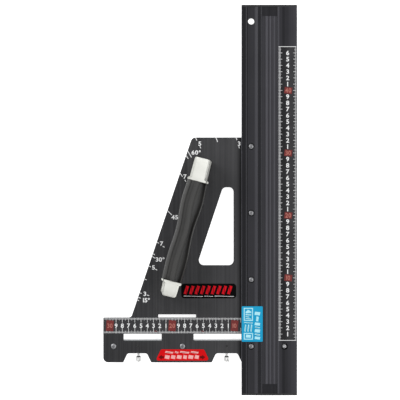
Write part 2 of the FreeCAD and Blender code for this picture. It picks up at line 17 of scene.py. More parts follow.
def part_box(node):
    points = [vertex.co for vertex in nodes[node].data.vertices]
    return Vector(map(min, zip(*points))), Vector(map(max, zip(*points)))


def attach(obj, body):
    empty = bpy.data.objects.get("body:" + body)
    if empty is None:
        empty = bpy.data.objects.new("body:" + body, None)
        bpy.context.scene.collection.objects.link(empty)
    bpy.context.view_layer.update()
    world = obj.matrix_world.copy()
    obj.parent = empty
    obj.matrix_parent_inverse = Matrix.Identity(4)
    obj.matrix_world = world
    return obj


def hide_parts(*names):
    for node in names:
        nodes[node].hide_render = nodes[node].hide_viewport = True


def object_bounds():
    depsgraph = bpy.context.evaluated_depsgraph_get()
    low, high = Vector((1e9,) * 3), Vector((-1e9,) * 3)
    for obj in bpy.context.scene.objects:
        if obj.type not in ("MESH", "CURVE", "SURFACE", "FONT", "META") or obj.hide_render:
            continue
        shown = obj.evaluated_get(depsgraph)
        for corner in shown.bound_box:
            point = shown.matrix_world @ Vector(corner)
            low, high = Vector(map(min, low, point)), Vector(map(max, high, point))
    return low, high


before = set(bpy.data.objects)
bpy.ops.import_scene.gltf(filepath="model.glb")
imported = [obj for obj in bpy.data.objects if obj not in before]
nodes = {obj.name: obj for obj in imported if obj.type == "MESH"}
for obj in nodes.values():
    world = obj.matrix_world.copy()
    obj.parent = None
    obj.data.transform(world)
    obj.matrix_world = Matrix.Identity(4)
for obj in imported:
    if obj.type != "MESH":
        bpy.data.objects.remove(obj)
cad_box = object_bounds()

MM = 0.001
scene = bpy.context.scene

# %% [markdown]
# ## Places
#
# The origin is where the fence's face crosses the rail's cutting edge, and both printed scales start there.
# Tops and edges are read from the CAD boxes, so print and screws sit on the surface they belong to. Lengths
# are in millimetres until a piece is finished, when one function turns them into metres.

# %% Read the places from the frame
def box_of(name):
    """A CAD node's low and high corner, in millimetres."""
    return [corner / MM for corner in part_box(name)]


def add_object(name, data):
    thing = bpy.data.objects.new(name, data)
    scene.collection.objects.link(thing)
    return thing


rail_low, rail_high = box_of("rail_extrusion")
plate_low, plate_high = box_of("angle_plate")
rail_edge = rail_low.x
plate_top = plate_high.z
ruler_step = 0.4        # the rail's scale lies this far below its highest ridges
ruler_top = rail_high.z - ruler_step
ink = 0.04
print("rail edge", round(rail_edge, 1), "plate top", round(plate_top, 2), "ruler top", round(ruler_top, 2))

# %% [markdown]
# ## Camera
#
# The object is seen from straight above. A long lens from about two metres keeps the rail's sides almost
# parallel, yet shows a little of the fence's face.

# %% Make the camera
camera_height = 2200.0
camera_x, camera_y = -155.4, 224.6
view_width = 640.0
sensor_width = 36.0
camera = add_object("camera", bpy.data.cameras.new("camera"))
camera.data.sensor_width = sensor_width
camera.data.lens = sensor_width * camera_height / view_width
camera.data.clip_end = 20.0
camera.location = Vector((camera_x, camera_y, rail_high.z + camera_height)) * MM
scene.camera = camera
print("lens", round(camera.data.lens, 2), "mm")

# %% [markdown]
# ## Shader helpers
#
# Node trees are easier to read when one line makes one node. `node` adds a node and feeds its inputs from a
# socket or with a plain value, and the helpers after it do the same for what is used most.

# %% Helpers for node trees
def feed(socket, value):
    """Feeds a socket from another socket, or sets it to a plain value."""
    if isinstance(value, bpy.types.NodeSocket):
        socket.id_data.links.new(value, socket)
    else:
        socket.default_value = value


def node(tree, kind, inputs=None, **settings):
    """Adds a node, sets its properties, and feeds its inputs by name or number."""
    made = tree.nodes.new(kind)
    for key, value in settings.items():
        setattr(made, key, value)
    for key, value in (inputs or {}).items():
        feed(made.inputs[key], value)
    return made


def math_node(tree, operation, first, second=0.0):
    return node(tree, "ShaderNodeMath", {0: first, 1: second}, operation=operation).outputs[0]


def spread(tree, value, low, high, to_low, to_high):
    """Moves a value from one range to another and keeps it inside."""
    made = node(tree, "ShaderNodeMapRange", {0: value, 1: low, 2: high, 3: to_low, 4: to_high})
    return made.outputs[0]


def blend_colours(tree, factor, first, second):
    made = node(tree, "ShaderNodeMix", data_type="RGBA")
    feed(made.inputs[0], factor)
    feed(made.inputs[6], first)
    feed(made.inputs[7], second)
    return made.outputs[2]


def noise(tree, place, scale, detail=2.0, distortion=0.0):
    return node(tree, "ShaderNodeTexNoise", {"Vector": place, "Scale": scale, "Detail": detail,
                                             "Distortion": distortion}).outputs[0]


def node_group(name, kind, inputs, outputs):
    """An empty shader or geometry group, whose sockets are given as labels with their types."""
    tree = bpy.data.node_groups.new(name, kind + "NodeTree")
    for way, sockets in (("INPUT", inputs), ("OUTPUT", outputs)):
        for label, socket in sockets.items():
            tree.interface.new_socket(label, in_out=way, socket_type="NodeSocket" + socket)
    print("group", name)
    return tree, tree.nodes.new("NodeGroupInput").outputs, tree.nodes.new("NodeGroupOutput").inputs


def shader_group(name, extra, *outputs):
    """A shader group that takes a place and one more input, and gives numbers."""
    return node_group(name, "Shader", {"Vector": "Vector", **extra}, dict.fromkeys(outputs, "Float"))


def place_group(tree, group, inputs):
    return node(tree, "ShaderNodeGroup", inputs, node_tree=group).outputs


def weighted(tree, first, share, second, other_share):
    """The sum of two values, each with its own weight."""
    return math_node(tree, "ADD", math_node(tree, "MULTIPLY", first, share),
                     math_node(tree, "MULTIPLY", second, other_share))


# %% [markdown]
# ## Effects that several finishes share
#
# Drawn and brushed metal carries very long, very thin lines. They are noise stretched along one axis, which
# stays sharp at any size and needs no unwrapping.

# %% Group: drawn lines
tree, given, result = shader_group("Drawn lines", {"Stretch": "Vector"}, "Fine", "Broad")
stretched = node(tree, "ShaderNodeVectorMath", {0: given["Vector"], 1: given["Stretch"]},
                 operation="MULTIPLY").outputs[0]
feed(result["Fine"], noise(tree, stretched, 1.0, 3.0))
feed(result["Broad"], noise(tree, stretched, 0.2))
lines_group = tree

# %% [markdown]
# Moulded plastic, rubber and blasted metal have a fine grain instead, the same in every direction. Two
# sizes of noise together look less regular than one.

# %% Group: moulded grain
tree, given, result = shader_group("Moulded grain", {"Size": "Float"}, "Height")
fine_scale = math_node(tree, "DIVIDE", 1.0, given["Size"])
small = noise(tree, given["Vector"], fine_scale)
large = noise(tree, given["Vector"], math_node(tree, "MULTIPLY", fine_scale, 0.31), 1.0)
feed(result["Height"], weighted(tree, small, 0.7, large, 0.3))
grain_group = tree

# %% [markdown]
# Hands and packing leave faint, cloudy differences in gloss: a slow noise, pulled into soft patches.

# %% Group: handling marks
tree, given, result = shader_group("Handling marks", {"Patch size": "Float"}, "Smudge")
patch_scale = math_node(tree, "DIVIDE", 1.0, given["Patch size"])
patches = noise(tree, given["Vector"], patch_scale, 4.0, 0.6)
feed(result["Smudge"], spread(tree, patches, 0.35, 0.7, 0.0, 1.0))
marks_group = tree

# %% [markdown]
# Edges wear first. The Bevel node looks round the corner within a small radius. Where its normal differs
# from the flat face's there is an edge to wear, and noise breaks the wear up.

# %% Group: softened and worn edges
tree, given, result = shader_group("Worn edges", {"Amount": "Float"}, "Worn")
rounded = node(tree, "ShaderNodeBevel", {"Radius": 0.0005}, samples=4).outputs[0]
face_normal = node(tree, "ShaderNodeNewGeometry").outputs["Normal"]
alike = node(tree, "ShaderNodeVectorMath", {0: rounded, 1: face_normal}, operation="DOT_PRODUCT")
edge = math_node(tree, "SUBTRACT", 1.0, alike.outputs["Value"])
chips = math_node(tree, "MULTIPLY", noise(tree, given["Vector"], 700.0, 3.0), 6.0)
patchy = math_node(tree, "MULTIPLY", edge, chips)
worn = math_node(tree, "MULTIPLY", patchy, given["Amount"])
feed(result["Worn"], math_node(tree, "MINIMUM", worn, 1.0))
edge_group = tree

# %% [markdown]
# Painted light and shade: a colour ramp across X paints long light and dark bands side by side, as
# painted highlights where a lip or slope would catch the light and painted shade where a slope turns away
# or a groove lies in shadow. A stop is a place in millimetres and a tone from dark (0) to light (1).

# %% Group: painted light and shade across X
def band_group(name, stops):
    """A group that turns a place into a tone of painted light and shade, by stops of (X in millimetres,
    tone) from left to right.
    """
    tree, given, result = shader_group(name, {}, "Tone")
    first, last = stops[0][0], stops[-1][0]
    across_x = node(tree, "ShaderNodeSeparateXYZ", {0: given["Vector"]}).outputs["X"]
    ramp = node(tree, "ShaderNodeValToRGB", {"Fac": spread(tree, across_x, first * MM, last * MM, 0.0, 1.0)})
    marks = ramp.color_ramp.elements
    while len(marks) > 1:
        marks.remove(marks[-1])
    for number, (x, tone) in enumerate(stops):
        mark = marks[0] if number == 0 else marks.new((x - first) / (last - first))
        mark.color = (tone, tone, tone, 1.0)
    marks[0].position = 0.0
    feed(result["Tone"], ramp.outputs["Color"])
    print(name, "has", len(marks), "stops")
    return tree


# %% [markdown]
# ## Finishes
#
# One builder makes every finish from the same layers: two colours that lines or smudges mix, a worn colour
# on the edges, a roughness that the smudges move, and a bump from lines or grain. Where bands are given,
# they add painted light and shade across X to the mix. Sizes are in millimetres and depths in thousandths of
# one.

# %% The finish builder
MICRON = MM / 1000


def rgba(colour):
    """A colour for a socket. A single number is a grey."""
    return (*colour, 1.0) if isinstance(colour, tuple) else (colour, colour, colour, 1.0)


def finish(name, colour, second, roughness, *, metallic=0.0, lines=None, line_depth=0, grain=0.3,
           grain_depth=10, patch=50, worn=0.0, wear=0.0, edge_radius=0.3, bands=None, streaks=0.14,
           specular=0.5):
    """A Principled material whose roughness is given as its lowest and highest value."""
    material = bpy.data.materials.new(name)
    material.use_nodes = True
    tree = material.node_tree
    shader = tree.nodes["Principled BSDF"]
    shader.inputs["Metallic"].default_value = metallic
    shader.inputs["Specular IOR Level"].default_value = specular
    place = node(tree, "ShaderNodeTexCoord").outputs["Object"]
    smudge = place_group(tree, marks_group, {"Vector": place, "Patch size": patch * MM})["Smudge"]
    height = place_group(tree, grain_group, {"Vector": place, "Size": grain * MM})["Height"]
    mottle = smudge
    rounding = node(tree, "ShaderNodeBevel", {"Radius": edge_radius * MM}, samples=4).outputs[0]
    normal = node(tree, "ShaderNodeBump", {"Distance": grain_depth * MICRON, "Strength": 1.0,
                                           "Height": height, "Normal": rounding}).outputs[0]
    if lines:
        drawn = place_group(tree, lines_group, {"Vector": place, "Stretch": lines})
        mixed = spread(tree, weighted(tree, drawn["Fine"], 0.3, drawn["Broad"], 0.7), 0.35, 0.65, 0.0, 0.75)
        mottle = weighted(tree, smudge, 0.25, mixed, 1.0)
        normal = node(tree, "ShaderNodeBump", {"Distance": line_depth * MICRON, "Strength": 1.0,
                                               "Height": drawn["Fine"], "Normal": normal}).outputs[0]
    tint = mottle
    # Bands are painted light and shade: their tone moves the mix towards the darker or the lighter colour.
    if bands:
        tone = place_group(tree, bands, {"Vector": place})["Tone"]
        tint = math_node(tree, "ADD", tone, spread(tree, mottle, 0.0, 1.0, -streaks / 2, streaks / 2))
    painted = blend_colours(tree, tint, rgba(colour), rgba(second))
    if wear:
        edges = place_group(tree, edge_group, {"Vector": place, "Amount": wear})["Worn"]
        painted = blend_colours(tree, edges, painted, rgba(worn))
    feed(shader.inputs["Base Color"], painted)
    feed(shader.inputs["Roughness"], spread(tree, mottle, 0.0, 1.0, *roughness))
    feed(shader.inputs["Normal"], normal)
    return material


def paint(material, *names):
    """Gives CAD nodes a finish and leaves their shape alone."""
    for name in names:
        for material_slot in nodes[name].material_slots:
            material_slot.material = material


# %% [markdown]
# The rail is an extrusion, dyed dark grey and a little bluish, with lines along its whole length. The plate
# is rolled sheet with the same dye but brushed, so it is more neutral and streakier. Both get a dark colour
# and only part of a metal's reflection, because the dyed skin hides the metal.

# %% Dark anodised metal
dye = ((0.006, 0.006, 0.008), (0.085, 0.083, 0.096))
dye_gloss = 0.25
pale_metal = (0.42, 0.43, 0.45)
# Painted light and shade on the rail: bright stops are painted highlights on lips and slopes that face the
# light, dark stops are painted shade on slopes turned away and in grooves.
rail_painted_shading = band_group("Rail painted shading", [(-89, 1), (-88.6, 0.9), (-88.2, 0.02), (-84, 0), (-82.2, 0.03),
                                       (-81.4, 0.4), (-80.6, 0.38), (-80, 0.03), (-79, 0.05), (-78, 0.28),
                                       (-76, 0.2), (-69.5, 0.2), (-67.6, 0.3), (-66.9, 0.5), (-63.3, 0.48),
                                       (-62.4, 0.1), (-58.4, 0.08), (-57.3, 0.4), (-55.6, 0.26), (-55, 0.08),
                                       (-31.6, 0.08), (-31, 0.5), (-29.5, 0.75), (-28.4, 0.26), (-24.6, 0.2),
                                       (-23.4, 0.08), (-20, 0.07), (-18.4, 0.16), (-12, 0.25), (-4, 0.38),
                                       (0, 0.42)])
# Painted shade on the plate: a dark strip beside the rail, where the plate goes under it. Elsewhere the tone
# grows lighter towards the rail.
plate_painted_shading = band_group("Plate painted shading", [(-311, 0.26), (-240, 0.3), (-190, 0.36), (-112, 0.47),
                                         (-95.6, 0.46), (-93.4, 0.3), (-92.2, 0.08), (-90.6, 0), (-88.9, 0),
                                         (-88, 0.36), (-62, 0.36)])
rail_finish = finish("rail_anodised", *dye, (0.38, 0.50), metallic=0.10, lines=(2600.0, 3.0, 2600.0),
                     line_depth=6, grain_depth=4, bands=rail_painted_shading, worn=pale_metal, wear=0.10,
                     specular=dye_gloss)
plate_finish = finish("plate_anodised", (0.006, 0.006, 0.007), (0.085, 0.084, 0.088), (0.38, 0.52),
                      metallic=0.10, lines=(1500.0, 9.0, 1500.0), line_depth=12, grain_depth=6,
                      bands=plate_painted_shading, streaks=0.30, worn=pale_metal, wear=0.16, specular=dye_gloss)
paint(rail_finish, "rail_extrusion")
paint(plate_finish, "angle_plate")
print("painted rail and plate")

# %% [markdown]
# The fence is clear anodised, with lines along it. Screws, nuts and washers are zinc plated, a soft and
# slightly blotchy grey. The thumb screws are nickel plated and much brighter. The studs' ends are as dark
# as the plate.

# %% Bright metal
fence_finish = finish("fence_aluminium", (0.50, 0.51, 0.52), (0.62, 0.63, 0.64), (0.30, 0.42), metallic=1.0,
                      lines=(3.0, 2200.0, 2200.0), line_depth=8, grain_depth=3, worn=(0.75, 0.75, 0.76),
                      wear=0.25)
zinc = {"metallic": 1.0, "grain": 0.6, "grain_depth": 8, "patch": 6, "edge_radius": 0.2}
steel_finish = finish("screw_steel", (0.28, 0.28, 0.29), (0.38, 0.38, 0.39), (0.42, 0.55), worn=0.5,
                      wear=0.15, **zinc)
# A lighter copy of the zinc steel is painted light: it lifts the screw that sits in shade in its hole.
painted_lit_steel_finish = finish("screw_steel_painted_lit", (0.72, 0.72, 0.73), (0.82, 0.82, 0.83), (0.40, 0.50),
                             worn=0.9, wear=0.1, **zinc)
nickel_finish = finish("thumb_screw_nickel", (0.66, 0.66, 0.65), (0.78, 0.78, 0.77), (0.34, 0.44),
                       metallic=1.0, grain=0.5, grain_depth=4, patch=5, edge_radius=0.15, worn=0.9, wear=0.1)
black_steel_finish = finish("blackened_steel", 0.016, (0.030, 0.030, 0.029), (0.40, 0.55), metallic=0.3,
                            patch=10)
paint(fence_finish, "fence_bar")
paint(steel_finish, "fence_washers", "fence_nuts", "handle_screws", "left_thrust_pad", "right_thrust_pad")
paint(black_steel_finish, "adjuster_studs")
print("painted fence and small metal")

# %% [markdown]
# The caps and the bush of the hanging hole are moulded black plastic. The glide strip is a slippery grey-
# black inlay, a little glossier, with the marks of extrusion along it.

# %% Plastic and rubber
cap_finish = finish("cap_plastic", (0.010, 0.010, 0.011), (0.017, 0.017, 0.018), (0.42, 0.55),
                    grain_depth=20)
# Painted light on the glide strip: bright lines are painted highlights along its ribs, with painted shade
# between them.
glide_painted_light = band_group("Glide strip painted light", [(-56, 0.28), (-52.4, 0.2), (-50.8, 0.28), (-49.3, 0.92),
                                         (-47.3, 0.66), (-46, 0.3), (-44.6, 0.36), (-42.7, 0.88),
                                         (-41.2, 0.36), (-39.6, 0.36), (-38, 0.44), (-36.3, 0.92),
                                         (-35, 0.34), (-33, 0.26), (-31.4, 0.5)])
glide_finish = finish("glide_plastic", *dye, (0.42, 0.55), lines=(1500.0, 6.0, 1500.0), line_depth=8,
                      grain_depth=6, bands=glide_painted_light, specular=dye_gloss)
core_finish = finish("core_plastic", 0.02, 0.03, (0.45, 0.55))
rubber_finish = finish("grip_rubber", 0.014, (0.024, 0.024, 0.023), (0.62, 0.75), grain=0.5, grain_depth=50,
                       specular=0.35)
handle_rubber_finish = finish("handle_rubber", (0.030, 0.029, 0.028), (0.040, 0.039, 0.037), (0.50, 0.62),
                              grain=0.45, grain_depth=30, patch=30, edge_radius=0.6, specular=0.45)
post_finish = finish("handle_plastic", (0.70, 0.70, 0.65), (0.75, 0.75, 0.70), (0.30, 0.40), grain=0.7,
                     grain_depth=12, patch=20, edge_radius=0.6)
paint(cap_finish, "rail_cap_top", "rail_cap_bottom", "fence_cap_left", "fence_cap_right")
paint(glide_finish, "glide_strip")
paint(core_finish, "handle_core")
print("plastic and rubber ready")

# %% [markdown]
# The labels are printed film. A strong highlight would grey their colours, so their reflection is turned
# down. Inks are thin and matt, and a printed white is never quite even, which the second colour brings in.

# %% Films and inks
film_gloss = 0.08
# Painted shade and a painted reflection on the scale's ground: dark by the scale's left side on the rail,
# lighter towards the cutting edge, and even on the plate.
scale_ground_painted_shading = band_group("Scale ground painted shading", [(-311, 0.34), (-89, 0.34), (-31, 0.1), (-20, 0.05),
                                                 (-17, 0.15), (-12, 0.32), (-0.5, 0.32)])
badge_finish = finish("badge_film", 0.0015, 0.003, (0.40, 0.55), specular=0.03)
blue_finish = finish("blue_film", (0.010, 0.285, 0.510), (0.014, 0.335, 0.570), (0.35, 0.50),
                     specular=film_gloss)
red_finish = finish("red_film", (0.560, 0.002, 0.004), (0.660, 0.003, 0.006), (0.35, 0.50),
                    specular=film_gloss)
paint(badge_finish, "badge")
paint(blue_finish, "depth_label")
paint(red_finish, "adjuster_label")
inks = {}


def add_ink(name, colour, second, roughness=(0.45, 0.60), patch=4, **settings):
    inks[name] = finish(name + "_ink", colour, second, roughness, patch=patch, **settings)


add_ink("white", 0.74, 0.86)
add_ink("grey", (0.62, 0.62, 0.63), (0.72, 0.72, 0.73))
add_ink("pink", (0.36, 0.110, 0.085), (0.44, 0.150, 0.115))
add_ink("blush", (0.78, 0.34, 0.33), (0.86, 0.44, 0.42))
add_ink("red", (0.120, 0.006, 0.005), (0.170, 0.010, 0.008), patch=6)
add_ink("crimson", (0.52, 0.003, 0.010), (0.60, 0.005, 0.014), (0.35, 0.50), patch=6, specular=film_gloss)
add_ink("maroon", (0.120, 0.001, 0.002), (0.160, 0.002, 0.003), patch=6, specular=film_gloss)
add_ink("pale_blue", (0.35, 0.72, 0.82), (0.45, 0.80, 0.88), (0.40, 0.55))
# The black ink of the scales' grounds carries their painted shade and painted reflection.
add_ink("black", (0.006, 0.006, 0.007), (0.085, 0.083, 0.088), (0.50, 0.62), patch=20, bands=scale_ground_painted_shading,
        specular=dye_gloss)
print("inks:", ", ".join(inks))

# %% [markdown]
# ## From a shape in millimetres to a finished piece
#
# Every piece goes through one function. It joins points that lie together, turns the faces outwards, marks
# the corners that stay crisp, scales to metres, and links the piece at the origin. Then it gets its finish,
# is hung under the empty of the body it rides on, and the CAD nodes it stands for are hidden.

# %% Finishing a piece
merge_distance = 0.0005


def mesh_of(made):
    """Closes a bmesh and gives it as a plain mesh."""
    mesh = bpy.data.meshes.new("draft")
    made.to_mesh(mesh)
    made.free()
    return mesh


def piece(name, shape, material, body="guide", replaces=(), smooth=math.radians(32)):
    """Finishes a mesh or bmesh. Edges with a bend under `smooth` are shaded as one surface."""
    mesh = mesh_of(shape) if isinstance(shape, bmesh.types.BMesh) else shape
    made = bmesh.new()
    made.from_mesh(mesh)
    bmesh.ops.remove_doubles(made, verts=made.verts, dist=merge_distance)
    bmesh.ops.recalc_face_normals(made, faces=made.faces)
    for face in made.faces:
        face.smooth = True
    for rim in made.edges:
        rim.smooth = len(rim.link_faces) == 2 and rim.calc_face_angle(0.0) < smooth
    made.to_mesh(mesh)
    made.free()
    mesh.transform(Matrix.Scale(MM, 4))
    mesh.name = name
    mesh.materials.clear()
    mesh.materials.append(material)
    thing = add_object(name, mesh)
    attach(thing, body)
    if replaces:
        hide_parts(*replaces)
    print(f"{name}: {len(mesh.polygons)} faces on {body}")


# %% [markdown]
# ## Outlines and lofts
#
# The handle and the print start from outlines with rounded corners. A loft joins a row of outlines, which
# all have the same number of points, with four-sided faces.

# %% Outline and loft helpers
def rounded_outline(corners, steps):
    """Points round an outline given as (x, y, radius) corners, each corner laid out as a short arc."""
    points = []
    for i, (x, y, radius) in enumerate(corners):
        corner = Vector((x, y))
        back = (Vector(corners[i - 1][:2]) - corner).normalized()
        ahead = (Vector(corners[(i + 1) % len(corners)][:2]) - corner).normalized()
        half = back.angle(ahead) / 2
        centre = corner + (back + ahead).normalized() * (radius / math.sin(half))
        start = corner + back * (radius / math.tan(half))
        turn = math.copysign(math.pi - 2 * half, ahead.cross(back))
        for k in range(steps + 1):
            angle = -turn * k / steps
            points.append(centre + Matrix.Rotation(angle, 2) @ (start - centre))
    return points


def loft(rings, made=None):
    """A closed skin over rings of points, in a new bmesh or one that is given."""
    made = bmesh.new() if made is None else made
    rows = [[made.verts.new(point) for point in ring] for ring in rings]
    count = len(rows[0])
    for near, far in zip(rows, rows[1:]):
        for i in range(count):
            j = (i + 1) % count
            made.faces.new((near[i], near[j], far[j], far[i]))
    made.faces.new(list(reversed(rows[0])))
    made.faces.new(rows[-1])
    return made


def add_flat(made, points, low, high):
    """Adds a thin closed shape with an outline in plan."""
    loft([[(x, y, z) for x, y in points] for z in (low, high)], made)


def add_box(made, x0, x1, y0, y1, low, high, radius=0.0):
    corners = [(x0, y0), (x1, y0), (x1, y1), (x0, y1)]
    if radius:
        corners = rounded_outline([(x, y, radius) for x, y in corners], 3)
    add_flat(made, corners, low, high)


# %% [markdown]
# ## The handle
#
# Two pale moulded posts carry a dark rubber grip. Each post is a leg with a rounded shoulder at its outer
# end. It flares into a collar where it meets the grip, so that a hand stops there, and only the collar
# reaches over the finger gap. The posts are lofted along Y and then turned into place.

# %% Handle sizes and place
handle_foot = Vector((-206.6, 72.5, plate_top))
handle_tilt = math.radians(14.7)
handle_place = Matrix.Translation(handle_foot) @ Matrix.Rotation(-handle_tilt, 4, "Z")
handle_top = 50.0
grip_length = 161.9
grip_height = 22.0
collar_length = 4.8
shoulder_radius = 12.0
lower_length = 25.6
upper_length = 37.7
under = handle_top - grip_height - 0.5
foot_corner, top_corner = 0.8, 3.0      # roundings along a post


def fall(radius, distance):
    """How far a rounded corner has dropped back, at a distance from its end."""
    short = max(0.0, radius - distance)
    return radius - math.sqrt(radius * radius - short * short)


def post_section(y, half, low, high):
    """One section of a post, as points in X, Y and Z."""
    corners = [(-half, low, foot_corner), (half, low, foot_corner), (half, high, top_corner),
               (-half, high, top_corner)]
    outline = rounded_outline(corners, 5)
    return [Vector((x, y, z)) for x, z in outline]


def post_rings(length, widths, corner):
    """Sections of a post. The widths are at its outer end, its neck and its collar."""
    end, neck, collar = (width / 2 for width in widths)
    inner = length - collar_length
    flare = (collar - neck) * 0.6
    rings = []

    def leg_section(y, high):
        rings.append(post_section(y, end + (neck - end) * y / inner - fall(corner, y), 0.0, high))

    shoulder_steps, leg_steps = 8, 4
    for k in range(shoulder_steps + 1):
        y = shoulder_radius * (1 - math.cos(math.pi / 2 * k / shoulder_steps))
        leg_section(y, handle_top - fall(shoulder_radius, y))
    for k in range(1, leg_steps + 1):
        leg_section(shoulder_radius + (inner - shoulder_radius) * k / leg_steps, handle_top)
    fillet = collar_length * 0.6
    for share in (0.01, 0.25, 0.5, 0.75, 1.0):
        y = inner + fillet * share
        drop = fillet - math.sqrt(fillet ** 2 - (fillet * (1 - share)) ** 2)
        half = neck + (collar - neck) * min(1.0, (y - inner) / flare)
        rings.append(post_section(y, half, under - drop, handle_top))
    rings.append(post_section(length - 0.5, collar, under, handle_top))
    rings.append(post_section(length - 0.1, collar - 0.4, under + 0.4, handle_top - 0.4))
    return rings


# %% The two posts
lower_post = loft(post_rings(lower_length, (25.5, 27.4, 32.8), 5.0))
bmesh.ops.transform(lower_post, matrix=handle_place, verts=lower_post.verts)
piece("handle_post_lower_moulded", lower_post, post_finish,
      replaces=["handle_post_lower"])
upper_post = loft(post_rings(upper_length, (27.0, 28.4, 34.3), 2.5))
whole_length = lower_length + grip_length + upper_length
turned_round = Matrix.Translation((0, whole_length, 0)) @ Matrix.Rotation(math.pi, 4, "Z")
bmesh.ops.transform(upper_post, matrix=handle_place @ turned_round, verts=upper_post.verts)
piece("handle_post_upper_moulded", upper_post, post_finish,
      replaces=["handle_post_upper"])

# %% [markdown]
# The grip is a rubber sleeve with a flat top and sloping shoulders. It is narrowest at its middle, where
# the fingers close, and widest under the palm near the upper post. Its width is given at a few places and
# eased between them, which keeps it free of kinks. Its ends tuck in slightly, which leaves a dark line
# beside each collar.

# %% The grip
half_widths = [(0.0, 16.4), (0.2, 17.1), (0.51, 14.6), (0.81, 17.9), (1.0, 16.5)]
stations = 48
tucks = {0: 0.9, 1: 0.35, stations - 1: 0.35, stations: 0.9}


def grip_half_width(share):
    """Half the grip's width at a share of its length, eased between the places that are given."""
    for (near, near_width), (far, far_width) in zip(half_widths, half_widths[1:]):
        if share <= far:
            ease = (1 - math.cos(math.pi * (share - near) / (far - near))) / 2
            return near_width + (far_width - near_width) * ease
    return half_widths[-1][1]


def grip_ring(station):
    share = station / stations
    tuck = tucks.get(station, 0.0)
    half = grip_half_width(share) - tuck
    low, high = handle_top - grip_height + tuck, handle_top - tuck
    shoulder = high - 7.0
    corners = [(-half, low, 7.0), (half, low, 7.0), (half, shoulder, 6.0), (half - 5.5, high, 9.0),
               (7.5 - half, high, 12.0), (-half, shoulder, 6.0)]
    pitch = grip_length / stations
    nudge = {1: 0.5 - pitch, stations - 1: pitch - 0.5}.get(station, 0.0)
    y = lower_length + 0.05 + (grip_length - 0.1) * share + nudge
    return [Vector((x, y, z)) for x, z in rounded_outline(corners, 7)]


grip = loft([grip_ring(station) for station in range(stations + 1)])
bmesh.ops.transform(grip, matrix=handle_place, verts=grip.verts)
piece("handle_grip_sleeve", grip, handle_rubber_finish, replaces=["handle_grip"],
      smooth=math.radians(50))

# %% [markdown]
# ## Geometry Nodes for turned and repeated pieces
#
# Scales, ribs, screws and knurls repeat one shape, so small trees make them. Each has named inputs, and
# ends in Realize Instances and Set Material. `run_tree` puts a tree on a holder, sets its inputs by their
# identifiers, keeps the result as a plain mesh and removes the holder.

# %% Helpers for Geometry Nodes
def maker_tree(name, inputs):
    """A geometry group that takes geometry, the inputs that are listed, and a material."""
    return node_group(name, "Geometry", {"Geometry": "Geometry", **inputs, "Material": "Material"},
                      {"Geometry": "Geometry"})


def close_tree(tree, geometry, given, result):
    """Ends a tree with real geometry that carries its material."""
    real = node(tree, "GeometryNodeRealizeInstances", {0: geometry}).outputs[0]
    feed(result[0], node(tree, "GeometryNodeSetMaterial", {"Geometry": real,
                                                           "Material": given["Material"]}).outputs[0])


def combine(tree, **parts):
    return node(tree, "ShaderNodeCombineXYZ", parts).outputs[0]


def mesh_now(thing):
    """What an object and its modifiers give, as a plain mesh."""
    graph = bpy.context.evaluated_depsgraph_get()
    return bpy.data.meshes.new_from_object(thing.evaluated_get(graph))


def run_tree(tree, settings, start=None):
    """Runs a tree on a holder and gives the result as a plain mesh."""
    holder = add_object("holder", start or bpy.data.meshes.new("empty"))
    modifier = holder.modifiers.new("maker", "NODES")
    modifier.node_group = tree
    for item in tree.interface.items_tree:
        if item.in_out == "INPUT" and item.name in settings:
            modifier[item.identifier] = settings[item.name]
    mesh = mesh_now(holder)
    holder.modifiers.remove(modifier)
    bpy.data.objects.remove(holder)
    return mesh


def add_meshes(made, *meshes):
    """Adds meshes to a bmesh and removes them."""
    for mesh in meshes:
        made.from_mesh(mesh)
        bpy.data.meshes.remove(mesh)


# %% [markdown]
# One tree repeats a pattern: it lays points on a line and puts the pattern on each. Every row of both
# scales, and every row of ribs, is one call of it.

# %% Tree: row of one pattern
tree, given, result = maker_tree("Row", {"Pattern": "Object", "Count": "Int", "First": "Vector",
                                         "Step": "Vector"})
line = node(tree, "GeometryNodeMeshLine", {"Count": given["Count"], "Start Location": given["First"],
                                           "Offset": given["Step"]}, mode="OFFSET")
pattern = node(tree, "GeometryNodeObjectInfo", {"Object": given["Pattern"]})
laid = node(tree, "GeometryNodeInstanceOnPoints", {"Points": line.outputs[0],
                                                   "Instance": pattern.outputs["Geometry"]})
close_tree(tree, laid.outputs[0], given, result)
row_tree = tree


def row_of(shape, count, first, step, material):
    """A row of copies of a bmesh, as a plain mesh."""
    pattern = add_object("pattern", mesh_of(shape))
    mesh = run_tree(row_tree, {"Pattern": pattern, "Count": count, "First": Vector(first),
                               "Step": Vector(step), "Material": material})
    bpy.data.objects.remove(pattern)
    return mesh


def add_marks(made, along, count, first, step, span, width, low, share=1.0, ink_name="white"):
    """Adds marks in a row along X (0) or Y (1), each across a span and as thick as a share of the ink."""
    half, thick = width / 2, ink * share
    middle = sum(span) / 2
    reach = (span[1] - span[0]) / 2
    sizes = (half, reach) if along == 0 else (reach, half)
    block = bmesh.new()
    add_box(block, -sizes[0], sizes[0], -sizes[1], sizes[1], 0.0, thick)
    start = (first, middle, low) if along == 0 else (middle, first, low)
    offset = (step, 0, 0) if along == 0 else (0, step, 0)
    add_meshes(made, row_of(block, count, start, offset, inks[ink_name]))


# %% [markdown]
# ## Digits
#
# Each digit comes from Blender's own font once, thickened with the curve's offset, and is made a mesh.
# Numbers are set digit by digit, so their height and spacing are exact.

# %% Digits as thin meshes
glyph_cache = {}


